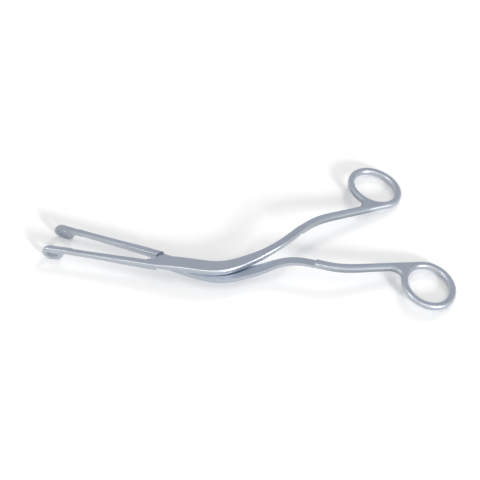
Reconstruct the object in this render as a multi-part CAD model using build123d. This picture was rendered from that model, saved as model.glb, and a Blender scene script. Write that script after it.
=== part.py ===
from build123d import *
import math
import os

# Forceps with two crossed arms on one screw. Each arm is one forging: an oval
# jaw loop with teeth, a tapered jaw stem, a half-thickness lap plate at the
# joint, an S-bent shank that humps up and comes down again, and a finger ring.
# Lengths are in millimetres and angles in degrees. The arms are drawn closed,
# about the screw's axis, and are then turned apart to the half-open pose.

# Jaws
jaw_length = 97.1          # screw axis to the end of a jaw
jaw_gap = 0.15              # from the closing plane to a jaw's inner face
loop_length = 14.0          # oval loop, along the jaw
loop_height = 9.6          # oval loop, across the jaw
loop_thickness = 3.3        # from the gripping face to the back
loop_window_length = 8.2    # oval window through the loop
loop_window_height = 3.9
loop_back_round = 1.2       # rounding of the loop's outer edges
neck_length = 6.0           # straight neck behind the loop
neck_round = 3.0            # hollow corner under the neck
tooth_pitch = 1.6
tooth_breadth = 1.152       # of one groove, at the gripping face
tooth_depth = 0.5
stem_tip_width = 3.4        # jaw stem next to the loop, square with soft corners
stem_root_width = 4.9       # jaw stem at the lap shoulder
stem_root_height = 5.4
stem_tip_round = 0.7        # its corners next to the loop
stem_waist = 0.3            # the stem's height sags by this much in the middle

# Lap joint
lap_front = 24.1            # screw axis to the lap shoulder, on the closing plane
lap_slant = 30.0            # the shoulder leans back towards the screw
lap_width = 10.3            # lap plate at the screw
lap_height = 8.6            # both lap plates together
lap_clearance = 0.05        # from the middle plane to each lap face
lap_relief = 0.45           # the lap faces part by this much behind the screw
relief_at = 44.0            # along the shank, where they are that far apart
plate_root = 4.0            # the plate reaches this far into its own jaw stem
plate_sections = 16         # sections that shape the plate
plate_taper = 64.0          # along the shank, where the plate is down to its width
shoulder_clearance = 0.25   # between a plate's end and the shoulder it meets
screw_diameter = 4.4
screw_clearance = 0.05      # running fit, on the radius
screw_head_diameter = 7.0
screw_head_rim = 0.3        # straight edge of the head
screw_head_depth = 1.6
screw_slot_width = 0.9
screw_slot_turn = 30.0      # degrees from the jaws
screw_slot_depth = 0.8

# Shanks
shank_width = 5.2           # across the shank
shank_thickness = 4.8       # along the screw's axis
shank_round = 1.7
step_at = 81.0              # along the shank, where the full thickness starts
shank_sections = 8          # sections from the step to the foot
level_at = 122.0            # along the shank, where both arms are level again

# The shanks' common line: its bends, as distances along it from the screw.
# A heading turns it sideways about the screw's axis, a pitch lifts it.
root_heading = 11.0         # reached just behind the screw
turn_at = 21.9
turn_length = 20.6
turn_heading = 38.6
climb_at = 45.5
climb_length = 26.4
climb_pitch = 15.9
crest_at = 66.9
crest_length = 41.6
crest_heading = 35.0
crest_pitch = -6.78         # brings the rings down to the table with the loops
# Each arm also turns away from that line and then most of the way back.
splay_at = 63.3
splay_length = 30.3
splay = 27.2
return_at = 96.0
return_length = 31.8
return_splay = 2.0          # what is left of the splay at the ring
handle_length = 149.6       # screw axis to the foot of the ring, along the line

# Finger rings
ring_length = 29.8          # middle of the wire to middle of the wire
ring_breadth = 37.0
ring_wire = 4.4             # width of the ring's band
ring_height = 4.5           # height of the ring's band
ring_round = 1.9
foot_length = 4.9           # straight shank forged level with the ring, ahead of its rim
web_round = 6.0             # hollow corner where ring and shank meet
foot_inset = 0.05           # the shank is this much slimmer where it enters the foot

# Pose
half_opening = 5.4          # each arm, away from closed


# Values worked out from the sizes above
half_lap = lap_height / 2
loop_center_x = -jaw_length + loop_length / 2
loop_center_z = stem_tip_width / 2 - loop_height / 2
ring_offset = ring_breadth / 2 + ring_wire / 2 - shank_width / 2
bow_shank = ring_length / 2 + ring_wire / 2 + foot_length
march = 0.5                 # step used to follow the shank's line


def ease(value):
    """Smooth step from 0 to 1."""
    t = min(max(value, 0.0), 1.0)
    return t * t * (3 - 2 * t)


def bend(s, at, length, change):
    """What a bend centred at a distance has added by the distance s."""
    return change * ease((s - at) / length + 0.5)


def heading(s, side):
    """Sideways direction of one arm's line, in degrees."""
    turn = root_heading * ease(s / turn_at)
    turn += bend(s, turn_at, turn_length, turn_heading - root_heading)
    turn += bend(s, crest_at, crest_length, crest_heading - turn_heading)
    parting = bend(s, splay_at, splay_length, splay)
    parting += bend(s, return_at, return_length, return_splay - splay)
    return turn + side * parting


def pitch(s):
    """Rise of the line, in degrees."""
    rise = bend(s, climb_at, climb_length, climb_pitch)
    return rise + bend(s, crest_at, crest_length, crest_pitch - climb_pitch)


def direction(s, side):
    h = math.radians(heading(s, side))
    v = math.radians(pitch(s))
    return Vector(math.cos(v) * math.cos(h), math.cos(v) * math.sin(h), math.sin(v))


def station(s, side):
    """Plane across one arm's line at distance s: x sideways, y up, z ahead."""
    point = Vector(0, 0, 0)
    if s <= 0:
        point = Vector(s, 0, 0)
        return Plane(origin=point, x_dir=(0, 1, 0), z_dir=(1, 0, 0))
    steps = max(1, round(s / march))
    ds = s / steps
    for i in range(steps):
        point += direction((i + 0.5) * ds, side) * ds
    ahead = direction(s, side)
    sideways = Vector(-ahead.Y, ahead.X, 0).normalized()
    return Plane(origin=point, x_dir=sideways, z_dir=ahead)


def band(plane, left, right, low, high, corner):
    """Rounded rectangle on a plane, between the given limits."""
    width = right - left
    height = high - low
    shape = RectangleRounded(width, height, min(corner, 0.45 * width, 0.45 * height))
    return plane * Pos((left + right) / 2, (low + high) / 2) * shape


def plate_profile(plane, half_width, low, high, side):
    """Lap plate's section: flat on the lap face, soft on the outer edges."""
    soft = min(shank_round, 0.45 * (high - low), 0.4 * half_width)
    inner = side * low
    outer = side * high
    curve = side * (high - soft)
    outline = Polyline((-half_width, curve), (-half_width, inner), (half_width, inner), (half_width, curve))
    tops = outline + Line((half_width - soft, outer), (-half_width + soft, outer))
    right = RadiusArc((half_width, curve), (half_width - soft, outer), -side * soft)
    left = RadiusArc((-half_width + soft, outer), (-half_width, curve), -side * soft)
    return plane * make_face(tops + right + left)


def arm_top(s):
    """Height of an arm's outer face above its line."""
    if s < 0:
        front = stem_root_height / 2
        return front + (half_lap - front) * ease(1 + s / (lap_front + plate_root))
    drop = half_lap - shank_thickness / 2
    return half_lap - drop * ease((s - turn_at) / (level_at - turn_at))


def plate_face(s):
    """Height of an arm's lap face above its line."""
    return lap_clearance + lap_relief * ease((s - screw_head_diameter) / (relief_at - screw_head_diameter))


def plate_half_width(s):
    narrow = ease((s - screw_head_diameter) / (plate_taper - screw_head_diameter))
    return (lap_width + (shank_width - lap_width) * narrow) / 2


def lap_plate(side):
    """Half-thickness plate from the lap shoulder to the step on the shank."""
    sections = []
    start = -lap_front - plate_root
    for k in range(plate_sections):
        s = start + (step_at - start) * k / (plate_sections - 1)
        sections.append(plate_profile(station(s, side), plate_half_width(s), plate_face(s), arm_top(s), side))
    return loft(sections) - plate_end(side)


def plate_end(side):
    """What is cut off a lap plate in front of the shoulder it meets."""
    lean = math.tan(math.radians(lap_slant))
    reach = 3 * lap_width
    corners = [(-lap_front, -side * jaw_gap), (-lap_front + lean * reach, side * reach)]
    corners += [(-lap_front - reach, side * reach), (-lap_front - reach, -side * jaw_gap)]
    block = extrude(make_face(Polyline(*corners, close=True)), half_lap * 2, both=True)
    return Pos(shoulder_clearance, 0) * block


def jaw_stem(side):
    """Tapered stem, on its own side of the closing plane, with its lap shoulder."""
    front = loop_center_x + loop_length / 2 + neck_length / 2
    lean = math.tan(math.radians(lap_slant))
    back = -lap_front + lap_width / 2 * lean + plate_root / 2
    middle_width = (stem_tip_width + stem_root_width) / 2
    middle_height = (stem_tip_width + stem_root_height) / 2 - stem_waist
    sections = []
    for x, width, height, corner in (
        (front, stem_tip_width, stem_tip_width, stem_tip_round),
        ((front - lap_front) / 2, middle_width, middle_height, (stem_tip_round + shank_round) / 2),
        (-lap_front, stem_root_width, stem_root_height, shank_round),
        (back, stem_root_width, stem_root_height, shank_round),
    ):
        limits = sorted((-side * jaw_gap, -side * (jaw_gap + width)))
        plane = Plane(origin=(x, 0, 0), x_dir=(0, 1, 0), z_dir=(1, 0, 0))
        sections.append(band(plane, *limits, -height / 2, height / 2, corner))
    # Behind the slanted shoulder only this arm's half of the height is left.
    reach = 3 * lap_width
    corners = [(-lap_front, 0), (-lap_front + lean * reach, -side * reach)]
    corners += [(reach, -side * reach), (reach, side * reach), (-lap_front, side * reach)]
    base = lap_clearance - lap_height if side > 0 else -lap_clearance
    recess = Pos(0, 0, base) * extrude(make_face(Polyline(*corners, close=True)), lap_height)
    return loft(sections) - recess


def jaw_loop(side):
    """Oval loop with a window, teeth on its gripping face and a short neck."""
    plane = Plane.XZ
    oval = Pos(loop_center_x, loop_center_z) * Ellipse(loop_length / 2, loop_height / 2)
    neck_end = loop_center_x + loop_length / 2 + neck_length
    neck = Pos((loop_center_x + neck_end) / 2, 0) * Rectangle(neck_end - loop_center_x, stem_tip_width)
    solid = extrude(plane * (oval + neck), loop_thickness)
    hollow = solid.edges().filter_by(Axis.Y).filter_by(lambda e: abs(e.center().Z + stem_tip_width / 2) < 0.01)
    hollow = hollow.filter_by(lambda e: e.center().X < neck_end - 0.5)
    solid = fillet(hollow, neck_round)
    back_face = solid.faces().sort_by(Axis.Y)[0]
    back_edges = back_face.edges().filter_by(lambda e: e.center().X < neck_end - 0.01)
    solid = fillet(back_edges, loop_back_round)
    window = Pos(loop_center_x, loop_center_z) * Ellipse(loop_window_length / 2, loop_window_height / 2)
    solid -= extrude(plane * window, 2 * loop_thickness, both=True)
    solid -= teeth()
    solid = Pos(0, -jaw_gap) * solid
    if side < 0:
        solid = mirror(solid, about=Plane.XZ)
    return solid


def teeth():
    """Grooves across the gripping face, which lies on the closing plane."""
    count = int(loop_length / tooth_pitch) - 1
    first = loop_center_x - (count - 1) / 2 * tooth_pitch
    half = tooth_breadth / 2
    grooves = []
    for i in range(count):
        x = first + i * tooth_pitch
        notch = make_face(Polyline((x - half, 0.01), (x + half, 0.01), (x, -tooth_depth), close=True))
        grooves.append(extrude(notch, 2 * loop_height, both=True))
    return grooves


def shank(side):
    """Full-thickness shank from the step into the ring's straight foot."""
    foot_start = handle_length - bow_shank
    sections = []
    for k in range(shank_sections + 1):
        s = step_at + (foot_start - step_at) * k / (shank_sections - 1)
        slim = ease((s - return_at) / (foot_start - return_at))
        high = arm_top(s) - slim * (shank_thickness / 2 - ring_height / 2 + foot_inset)
        low = arm_top(s) - shank_thickness + slim * (shank_thickness / 2 - ring_height / 2 + foot_inset)
        limits = sorted((side * low, side * high))
        half = shank_width / 2 - slim * foot_inset
        sections.append(band(station(s, side), -half, half, *limits, shank_round))
    return loft(sections)


def finger_ring(side):
    """Ring, web and straight foot in one plane, level with the shank's end."""
    foot = station(handle_length, side)
    outer = Ellipse(ring_length / 2 + ring_wire / 2, ring_breadth / 2 + ring_wire / 2)
    inner = Ellipse(ring_length / 2 - ring_wire / 2, ring_breadth / 2 - ring_wire / 2)
    place = Pos(0, ring_offset)
    run = Pos(-bow_shank / 2, 0) * Rectangle(bow_shank, shank_width)
    solid = extrude(place * outer + run, ring_height / 2, both=True)
    corner = solid.edges().filter_by(Axis.Z).filter_by(lambda e: abs(e.center().Y - shank_width / 2) < 0.01)
    corner = corner.filter_by(lambda e: e.center().X > -bow_shank + 0.5)
    solid = fillet(corner, web_round)
    solid -= extrude(place * inner, ring_height, both=True)
    rims = solid.edges().filter_by(lambda e: abs(abs(e.center().Z) - ring_height / 2) < 0.01)
    rims = rims.filter_by(lambda e: e.center().X > -bow_shank + 0.01)
    solid = fillet(rims, ring_round)
    if side < 0:
        solid = mirror(solid, about=Plane.XZ)
    # In the outline, x runs along the shank and y runs away from the other arm.
    return Plane(origin=foot.origin, x_dir=foot.z_dir, z_dir=foot.y_dir) * solid


def screw():
    """Countersunk screw: head under the lower plate, end flush on the upper one."""
    half_head = screw_head_diameter / 2
    radius = screw_diameter / 2
    profile = [(0, -half_lap), (half_head, -half_lap), (half_head, -half_lap + screw_head_rim)]
    profile += [(radius, -half_lap + screw_head_depth), (radius, half_lap), (0, half_lap)]
    body = revolve(Plane.XZ * make_face(Polyline(*profile, close=True)), Axis.Z)
    slot = Box(2 * screw_head_diameter, screw_slot_width, 2 * screw_slot_depth)
    return body - Pos(0, 0, -half_lap) * Rot(0, 0, screw_slot_turn) * slot


def screw_hole(extra):
    """Room for the screw, wider all round by the given clearance."""
    half_head = screw_head_diameter / 2 + extra
    radius = screw_diameter / 2 + extra
    profile = [(0, -2 * half_lap), (half_head, -2 * half_lap), (half_head, -half_lap + screw_head_rim + extra)]
    profile += [(radius, -half_lap + screw_head_depth + extra), (radius, 2 * half_lap), (0, 2 * half_lap)]
    return revolve(Plane.XZ * make_face(Polyline(*profile, close=True)), Axis.Z)


def arm(side, extra):
    """One whole arm, turned to the half-open pose."""
    body = lap_plate(side) + jaw_stem(side) + jaw_loop(side) + shank(side) + finger_ring(side)
    body -= screw_hole(extra)
    return body.rotate(Axis.Z, side * half_opening)


upper_arm = arm(1, 0)
lower_arm = arm(-1, screw_clearance)
pivot_screw = screw().rotate(Axis.Z, half_opening)

# The origin is under the middle of the whole tool, on the table it lies on.
whole = upper_arm.bounding_box().add(lower_arm.bounding_box())
shift = Pos(-whole.center().X, -whole.center().Y, -whole.min.Z)

os.makedirs("parts", exist_ok=True)
for name, shape in (("upper_arm", upper_arm), ("lower_arm", lower_arm), ("pivot_screw", pivot_screw)):
    placed = shift * shape.solid()
    export_step(placed, f"parts/{name}.step")
    print(name, len(placed.solids()), "solid", round(placed.volume, 1), "mm3")
print("screw axis at", tuple(round(v, 4) for v in (shift * Vertex(0, 0, 0)).center()))
print("whole tool", whole.size)
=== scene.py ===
# %% [markdown]
# # Forceps with offset handles
#
# A surgical grasping tool: two crossing steel arms that turn on one screw. The
# packed model carries all of its shape. This scene adds what a photograph of
# it needs, which is satin steel, a white table, soft light and the viewpoint.
# It could be modelled again here in more detail, but then the picture and the
# model would drift apart, so the model's own pieces are dressed instead.

# %% Load the frame
import math

import bpy
import numpy as np
from mathutils import Matrix, Vector

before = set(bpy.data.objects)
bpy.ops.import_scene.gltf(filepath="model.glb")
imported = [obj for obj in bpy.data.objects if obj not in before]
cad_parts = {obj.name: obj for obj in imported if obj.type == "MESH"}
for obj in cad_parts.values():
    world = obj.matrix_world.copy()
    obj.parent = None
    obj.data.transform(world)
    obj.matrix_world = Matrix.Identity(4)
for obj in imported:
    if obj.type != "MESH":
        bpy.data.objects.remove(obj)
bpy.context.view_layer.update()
print("pieces", sorted(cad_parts))

# %% [markdown]
# ## Adding things to the scene
#
# Blender keeps a thing's data, such as its mesh or its lens, apart from the
# object that gives it a place. Every camera, lamp and surface here needs both,
# so one helper makes the object around its data and links it to the scene.

# %% Helper for objects
scene = bpy.context.scene


def add(data):
    """An object that holds the data and bears its name."""
    made = bpy.data.objects.new(data.name, data)
    scene.collection.objects.link(made)
    return made


# %% [markdown]
# ## Viewpoint
#
# The camera looks down on the table from in front and a little from the left.
# A camera could be placed by eye. This one was found by laying the model's
# outline over the photograph, which gave its turn, its tilt, its distance and
# its scale. A camera's rotation matrix holds its right, up and back
# directions. So its place is the pivot, moved back along the view, and then
# aside until the pivot falls on its own pixel.

# %% Camera
PICTURE = 480                             # pixels, each way
AZIMUTH = math.radians(-17.467)
TILT = math.radians(46.879)               # from straight down
DISTANCE = 0.98952                        # metres to the pivot, along the view
PIXELS_PER_METRE = 1590.48                # at the pivot
PIVOT_PIXEL = (190.897, 267.759)
PIVOT = Vector((-0.033344, -0.059761, 0.0079))
SENSOR = 36                               # mm

looking = Matrix.Rotation(-TILT, 3, "X") @ Matrix.Rotation(AZIMUTH, 3, "Z")
right, up, back = looking
aside = (PIVOT_PIXEL[0] - PICTURE / 2) / PIXELS_PER_METRE
above = (PICTURE / 2 - PIVOT_PIXEL[1]) / PIXELS_PER_METRE

camera = add(bpy.data.cameras.new("camera"))
camera.data.sensor_width = SENSOR
camera.data.lens = SENSOR * PIXELS_PER_METRE * DISTANCE / PICTURE
camera.matrix_world = looking.transposed().to_4x4()
camera.location = PIVOT - right * aside - up * above + back * DISTANCE
scene.camera = camera
print("camera", [round(value, 3) for value in camera.location])
print("lens", round(camera.data.lens, 1), "mm")

# %% [markdown]
# ## A small language for shaders
#
# A finish is a network of nodes, and most of them only do sums. They could be
# made and linked one by one, which takes a page for each finish. Wrapping a
# socket in a class with its own plus, minus and times lets a sum be written as
# a sum instead.

# %% Values on a surface
class Value:
    """A number or vector that varies over a surface: one output of a node."""

    def __init__(self, shader, socket):
        self.shader = shader
        self.socket = socket

    def maths(self, operation, *others):
        """A Math node's answer for this value and up to two more."""
        sockets = dict(enumerate((self, *others)))
        return self.shader.node("ShaderNodeMath", {"operation": operation}, sockets)

    def __add__(self, other):
        return self.maths("ADD", other)

    __radd__ = __add__

    def __sub__(self, other):
        return self.maths("SUBTRACT", other)

    def __rsub__(self, other):
        return (self * -1) + other

    def __mul__(self, other):
        return self.maths("MULTIPLY", other)

    __rmul__ = __mul__

    def __abs__(self):
        return self.maths("ABSOLUTE")

    def rise(self, low, high):
        """0 below low, 1 above high, and a smooth step between."""
        settings = {"interpolation_type": "SMOOTHSTEP"}
        sockets = {"Value": self, "From Min": low, "From Max": high}
        return self.shader.node("ShaderNodeMapRange", settings, sockets)


print("a value can", [name for name in vars(Value) if name[0] != "_"])

# %% [markdown]
# ## Materials
#
# A new material starts with one node, the Principled BSDF, which stands for
# the surface itself. A second class holds the material and what is added to
# it. Every node comes from its one method `node`, which takes the node's type,
# its settings, and the values or links of its sockets. The kinds that return
# often, such as a noise or a mix, have short methods that call it.

# %% Materials and their nodes
class Shader:
    """A material and the nodes in it."""

    def __init__(self, name):
        self.material = bpy.data.materials.new(name)
        self.material.use_nodes = True
        self.tree = self.material.node_tree

    def fill(self, node, sockets):
        """Link each socket to its value, or set it where the value is plain."""
        for name, value in sockets.items():
            if isinstance(value, Value):
                self.tree.links.new(value.socket, node.inputs[name])
            else:
                node.inputs[name].default_value = value

    def node(self, kind, settings, sockets, output=0):
        """One new node, as the value of one of its outputs."""
        made = self.tree.nodes.new(kind)
        for name, value in settings.items():
            setattr(made, name, value)
        self.fill(made, sockets)
        return Value(self, made.outputs[output])

    def measure(self, operation, *vectors):
        """A number worked out from vectors, such as a length or a dot product."""
        sockets = dict(enumerate(vectors))
        return self.node("ShaderNodeVectorMath", {"operation": operation}, sockets, "Value")

    def noise(self, place, scale, detail):
        sockets = {"Vector": place, "Scale": scale, "Detail": detail}
        return self.node("ShaderNodeTexNoise", {}, sockets)

    def mix(self, factor, first, second):
        """The first colour where factor is 0, the second where it is 1.

        A Mix node has sockets for each type of data. Those of a colour are its
        inputs 6 and 7 and its output 2.
        """
        sockets = {0: factor, 6: first, 7: second}
        return self.node("ShaderNodeMix", {"data_type": "RGBA"}, sockets, 2)

    def surface(self, sockets):
        self.fill(self.tree.nodes["Principled BSDF"], sockets)


print("a shader can", [name for name in vars(Shader) if name[0] != "_"])

# %% [markdown]
# ## Grooves across the jaws
#
# The gripping faces are cut with cross grooves. They look dark in a picture,
# because little light reaches their floors. The grooves are in the model, and
# the dark could be left to the shadows in them, but a soft sky fills those. So
# the finish finds the floors again, from the distances along and across each
# jaw, and paints shade on them.

# %% Grooves
TEETH = 7
TOOTH_PITCH = 1.6                         # mm, as the lengths below
FIRST_TOOTH = -94.9                       # along the jaw, from the pivot
GRIP = (0.5, 0.8)                         # from the closing plane, where the dark fades
FLOOR = (0, 0.36)                         # from a floor's middle to its brink, in pitches
ROW_END = (-0.55, -0.45)                  # inwards from the last floor, in pitches
MM = 1000                                 # in a metre


def along(steel, place, direction):
    """Distance in mm from the pivot to a place, measured along a direction."""
    return steel.measure("DOT_PRODUCT", place, direction * MM) - PIVOT.dot(direction) * MM


def groove_floors(steel, place, opening):
    """1 on the floor of each groove, 0 elsewhere, for an arm turned by opening."""
    jaw = Vector((math.cos(opening), math.sin(opening), 0))
    across = Vector((-math.sin(opening), math.cos(opening), 0))
    step = (along(steel, place, jaw) - FIRST_TOOTH) * (1 / TOOTH_PITCH)
    floor = 1 - abs(step - step.maths("ROUND")).rise(*FLOOR)
    in_row = step.rise(*ROW_END) * (TEETH - 1 - step).rise(*ROW_END)
    on_grip = 1 - abs(along(steel, place, across)).rise(*GRIP)
    return floor * in_row * on_grip


print(TEETH, "grooves in each jaw,", TOOTH_PITCH, "mm apart")

# %% [markdown]
# ## Zones of wear, painted sheen and painted shade
#
# Tumbling and use wear the edges a little paler than the flat faces, and all the
# sides are painted paler and less blue as well, a painted sheen of the white
# table. The handles are duller than the rest, most of all the shanks, which the
# tumbling stones reach least, and the shanks' sides are painted darker as well,
# a painted shade that dims the highlight along them. Each zone could be painted
# by hand. Here it is found from which way the surface faces and how far it lies
# from the pivot, so that it stays in its place when the arms turn.

# %% Zones
FLAT = (0.75, 0.92)                       # how squarely a flat face looks up
HANDLE_START = (0.075, 0.100)             # metres from the pivot
RING_START = (0.126, 0.134)
BEHIND = (0, 1)                           # mm behind the pivot
HANDLE_SIDE = Vector((1, 0, 0))           # from the pivot towards the rings


def zones(steel, place):
    """1 in each zone and 0 outside it: sides, handle, sides of the shank."""
    facing = steel.node("ShaderNodeTexCoord", {}, {}, "Normal")
    upright = abs(steel.node("ShaderNodeSeparateXYZ", {}, {0: facing}, "Z"))
    sides = 1 - upright.rise(*FLAT)
    reach = steel.measure("DISTANCE", place, PIVOT)
    handle = reach.rise(*HANDLE_START) * along(steel, place, HANDLE_SIDE).rise(*BEHIND)
    shank = handle * (1 - reach.rise(*RING_START))
    return sides, handle, shank


print("shanks", HANDLE_START[0], "to", RING_START[1], "m from the pivot")

# %% [markdown]
# ## Satin steel
#
# Surgical steel is blasted with fine beads and then tumbled, which leaves it
# grey and soft in its reflections, so that it doesn't dazzle under a lamp. A
# plain grey metal would look like foil. Three noises bring it to life here:
# clouds left by handling, speckle from the blasting, and a grain too fine to
# see, which blurs the reflections. They read the place on the piece itself, so
# the pattern moves with the arm.

# %% Steel
GREY = (0.455, 0.505, 0.59, 1)
DEEP_GREY = (0.425, 0.475, 0.56, 1)
# paler sides: partly wear at the edges, partly a painted sheen of the white table
WORN_AND_SHEEN_GREY = (0.50, 0.535, 0.59, 1)
# painted shade for the shanks' sides, which dims their highlight
SHADED_SHANK_GREY = (0.26, 0.285, 0.32, 1)
# painted shade for the groove floors
SHADED_GROOVE_GREY = (0.10, 0.12, 0.15, 1)
CLOUDS = (38, 4)                          # scale per metre, detail
SPECKLE = (900, 2)
GRAIN = (5200, 3)
CLOUD_EDGE = (0.35, 0.65)                 # where one grey gives way to the other
SHANK_SHADE_AMOUNT = 0.8                              # how far painted shade darkens the shanks' sides
GROOVE_SHADE_AMOUNT = 0.3                              # how much painted shade darkens the groove floors
SATIN = 0.23                              # roughness of the smoothest place
CLOUDS_ADD = 0.10                         # and how much rougher each thing makes it
SPECKLE_ADD = 0.03
GRAIN_ADD = 0.05
HANDLE_ADD = 0.08
SHANK_ADD = 0.22
SPECKLE_HEIGHT = 0.5                      # of the grain's
BUMP_STRENGTH = 0.12
BUMP_HEIGHT = 0.00004                     # metres


def satin_steel(name, opening=None):
    """The finish of one piece, with painted shade in its grooves if it is an arm turned by
    opening.
    """
    steel = Shader(name)
    place = steel.node("ShaderNodeTexCoord", {}, {}, "Object")
    clouds, speckle, grain = (steel.noise(place, *size) for size in (CLOUDS, SPECKLE, GRAIN))
    sides, handle, shank = zones(steel, place)
    colour = steel.mix(clouds.rise(*CLOUD_EDGE), GREY, DEEP_GREY)
    # all sides painted paler: wear at the edges, and a painted sheen of the white table
    colour = steel.mix(sides, colour, WORN_AND_SHEEN_GREY)
    # painted shade on the shanks' sides, which dims the highlight line along them
    colour = steel.mix(SHANK_SHADE_AMOUNT * sides * shank, colour, SHADED_SHANK_GREY)
    if opening is not None:
        # painted shade on the groove floors
        colour = steel.mix(GROOVE_SHADE_AMOUNT * groove_floors(steel, place, opening), colour, SHADED_GROOVE_GREY)
    blasted = CLOUDS_ADD * clouds + SPECKLE_ADD * speckle + GRAIN_ADD * grain
    roughness = SATIN + blasted + HANDLE_ADD * handle + SHANK_ADD * shank
    height = grain + SPECKLE_HEIGHT * speckle
    relief = {"Height": height, "Strength": BUMP_STRENGTH, "Distance": BUMP_HEIGHT}
    bump = steel.node("ShaderNodeBump", {}, relief)
    steel.surface({"Base Color": colour, "Metallic": 1, "Roughness": roughness, "Normal": bump})
    return steel.material


print("roughness from", SATIN, "up")

# %% [markdown]
# ## Dressing the three pieces
#
# All three pieces are of the same steel, and could share one material. Each
# arm gets its own copy, because its grooves lie along its own jaw, turned half
# of the opening to one side. The screw has no grooves.

# %% Dress the pieces
HALF_OPENING = math.radians(5.4)


def dress(node, material):
    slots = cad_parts[node].data.materials
    slots.clear()
    slots.append(material)


dress("upper_arm", satin_steel("upper_steel", HALF_OPENING))
dress("lower_arm", satin_steel("lower_steel", -HALF_OPENING))
dress("pivot_screw", satin_steel("screw_steel"))
for node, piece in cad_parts.items():
    print(node, "wears", piece.data.materials[0].name)

# %% [markdown]
# ## White table
#
# The tool lies on white paper. A white sheet with bent-up walls would do as
# well, but one square is enough if no view sees its edge. Lamps alone leave it
# a little grey, and more light would bleach the steel. So the paper glows
# faintly, for the camera and the steel only, and more where the lamps don't
# reach. The shadows that fall on it stay.

# %% Table
HALF_TABLE = 3.0                          # metres, as FAR
FAR = (0.3, 1.6)                          # from the tool, where the lamps fade
PAPER = (0.98, 0.98, 0.98, 1)
GLOW = (0.05, 0.05, 0.05, 1)
FAR_GLOW = (0.35, 0.35, 0.35, 1)
NO_GLOW = (0, 0, 0, 1)


def table_top(half):
    """Corner u, v, each -1 or 1, lies half times u and v from the middle, at height 0."""
    u, v = np.meshgrid([-1, 1], [-1, 1])
    corners = np.stack([half * u, half * v, 0 * u], axis=-1).reshape(-1, 3)
    mesh = bpy.data.meshes.new("table")
    mesh.from_pydata(corners.tolist(), [], [(0, 1, 3, 2)])
    return mesh


def white_paper():
    paper = Shader("white_paper")
    seen = paper.node("ShaderNodeLightPath", {}, {}, "Is Camera Ray")
    for kind in ("Is Glossy Ray", "Is Transmission Ray"):
        seen = seen.maths("MAXIMUM", paper.node("ShaderNodeLightPath", {}, {}, kind))
    from_tool = paper.measure("LENGTH", paper.node("ShaderNodeTexCoord", {}, {}, "Object"))
    glow = paper.mix(seen, NO_GLOW, paper.mix(from_tool.rise(*FAR), GLOW, FAR_GLOW))
    paper.surface({"Base Color": PAPER, "Roughness": 1, "Specular IOR Level": 0})
    paper.surface({"Emission Color": glow, "Emission Strength": 1})
    return paper.material


table = add(table_top(HALF_TABLE))
table.data.materials.append(white_paper())
print("table", 2 * HALF_TABLE, "m wide")

# %% [markdown]
# ## Light
#
# A low lamp in front and to the right throws the shadow that arches above the
# handles, and a softer one behind throws the shadow below them. Both were
# placed from where the photograph's shadows fall. Smooth metal shows a lamp's
# shape more than its light. So two more lamps serve only as bright shapes to
# reflect: a long strip in front draws the line along the rounded edges, and a
# panel on the left lights the bevels of the rings.

# %% Lamps
REACH = 4.0                               # metres from the tool to each lamp
NEUTRAL = (1, 1, 1)
WARM = (1.0, 0.94, 0.86)                  # evens out the blue of the steel


def lamp(name, turn, height, size, watts, colour):
    """A soft lamp that faces the tool, with its width and height in metres.

    It stands turn degrees round to the right of the front, and height degrees up.
    """
    made = add(bpy.data.lights.new(name, "AREA"))
    made.data.shape = "RECTANGLE"
    made.data.size, made.data.size_y = size
    made.data.energy = watts
    made.data.color = colour
    turn, height = math.radians(turn), math.radians(height)
    level = math.cos(height)
    outward = Vector((level * math.sin(turn), -level * math.cos(turn), math.sin(height)))
    made.location = outward * REACH
    made.rotation_euler = outward.to_track_quat("Z", "Y").to_euler()
    return made


lamp("front_lamp", 50, 17, (0.6, 0.6), 117, NEUTRAL)
lamp("back_lamp", 172, 34, (0.9, 0.9), 33, NEUTRAL).visible_glossy = False
lamp("front_strip", 8, 38, (5.0, 0.42), 46, WARM).visible_diffuse = False
lamp("left_panel", -72, 38, (0.8, 1.2), 30, WARM).visible_diffuse = False
print("lamps", [light.name for light in bpy.data.lights])

# %% [markdown]
# ## Sky
#
# White walls send light back from all sides, which keeps the shadows in the
# photograph pale. A ring of weak lamps could do the same, but each would
# leave a shadow and a bright spot of its own. An even sky leaves neither.

# %% Sky
SKY = (1, 1, 1, 1)
SKY_STRENGTH = 0.70

scene.world = bpy.data.worlds.new("sky")
scene.world.use_nodes = True
background = scene.world.node_tree.nodes["Background"]
background.inputs["Color"].default_value = SKY
background.inputs["Strength"].default_value = SKY_STRENGTH
scene.view_settings.view_transform = "Standard"
print("sky strength", SKY_STRENGTH)

# %% [markdown]
# ## Sizes
#
# Dressing changes only the finishes, so the tool stays as large as the model.
